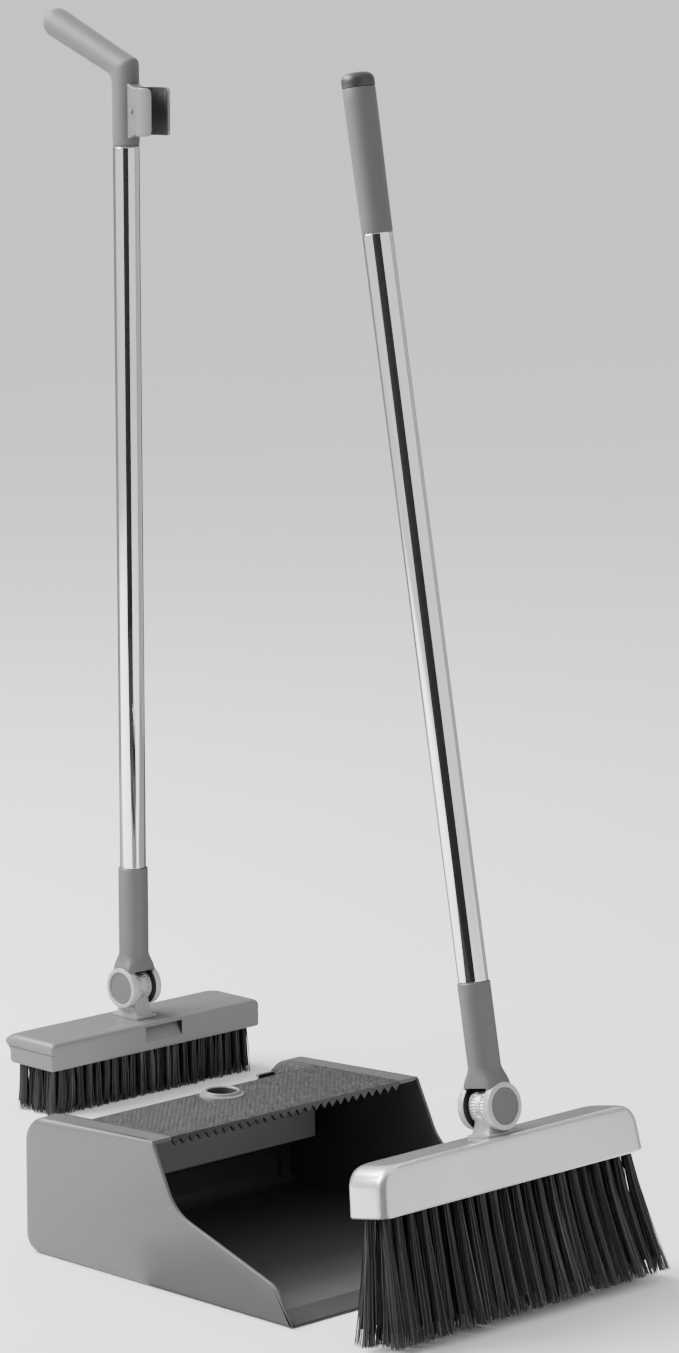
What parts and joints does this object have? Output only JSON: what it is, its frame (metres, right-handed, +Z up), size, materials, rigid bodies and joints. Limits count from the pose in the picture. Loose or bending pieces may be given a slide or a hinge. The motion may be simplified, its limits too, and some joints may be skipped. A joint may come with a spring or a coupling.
{
  "type": "dust pan and brush set",
  "caption": "Upright dust pan with a comb deck, a push brush with an elbow grip and pole clip, and a leaning broom, each head tilting on a pinned fork.",
  "frame": {"origin": "middle of the flat underside of the dust pan, on the floor", "axes": "+Z up, -Y towards the pan's lip, +X across the pan to the side where the brush stands"},
  "size_m": [0.5095, 0.7987, 0.9038],
  "materials": {
    "pan_grey": "fine matt moulded, warm grey",
    "deck_grey": "fine grid texture, mid grey",
    "soft_lip": "soft matt, charcoal",
    "mid_grey": "satin moulded, mid grey",
    "light_grey": "gloss moulded, light grey",
    "silver_grey": "gloss moulded, silver grey",
    "cap_grey": "satin inlay, mid grey",
    "grip_grey": "matt soft-touch, mid grey",
    "dark_grey": "matt, near black",
    "bristle": "stiff charcoal filaments",
    "pole_chrome": "mirror-polished stainless tube",
    "steel": "bright steel"
  },
  "bodies": {
    "pan": {"pan_tub": "pan_grey", "pan_cover": "deck_grey", "pan_lip": "soft_lip", "handle_socket": "mid_grey"},
    "brush_head": {"brush_shell": "mid_grey", "brush_board": "dark_grey", "brush_bristles": "bristle", "brush_knuckle": "light_grey", "brush_screws": "steel"},
    "brush_handle": {"brush_fork": "mid_grey", "brush_pivot_pin": "steel", "brush_washers": "dark_grey", "brush_left_cap": "cap_grey", "brush_right_cap": "cap_grey", "brush_pole": "pole_chrome", "brush_grip": "grip_grey", "pole_clip": "light_grey", "clip_lining": "soft_lip", "clip_rivets": "light_grey"},
    "broom_head": {"broom_shell": "silver_grey", "broom_board": "dark_grey", "broom_bristles": "bristle", "broom_knuckle": "light_grey", "broom_screws": "steel"},
    "broom_handle": {"broom_fork": "mid_grey", "broom_pivot_pin": "steel", "broom_washers": "dark_grey", "broom_front_cap": "cap_grey", "broom_rear_cap": "cap_grey", "broom_pole": "pole_chrome", "broom_grip": "grip_grey", "broom_grip_cap": "dark_grey"}
  },
  "joints": [
    {"name": "brush_lift", "type": "slide", "parent": "pan", "child": "brush_head", "axis": [0, 0, 1], "range_m": [0, 0.3]},
    {"name": "brush_tilt", "type": "hinge", "parent": "brush_head", "child": "brush_handle", "pos_m": [0.252, 0.45, 0.089], "axis": [1, 0, 0], "range_deg": [-90, 90]},
    {"name": "broom_lift", "type": "slide", "parent": "pan", "child": "broom_head", "axis": [0, 0, 1], "range_m": [0, 0.3]},
    {"name": "broom_tilt", "type": "hinge", "parent": "broom_head", "child": "broom_handle", "pos_m": [0.004, -0.20089, 0.14747], "axis": [0, 0.9839, -0.1788], "range_deg": [-90, 90]}
  ]
}
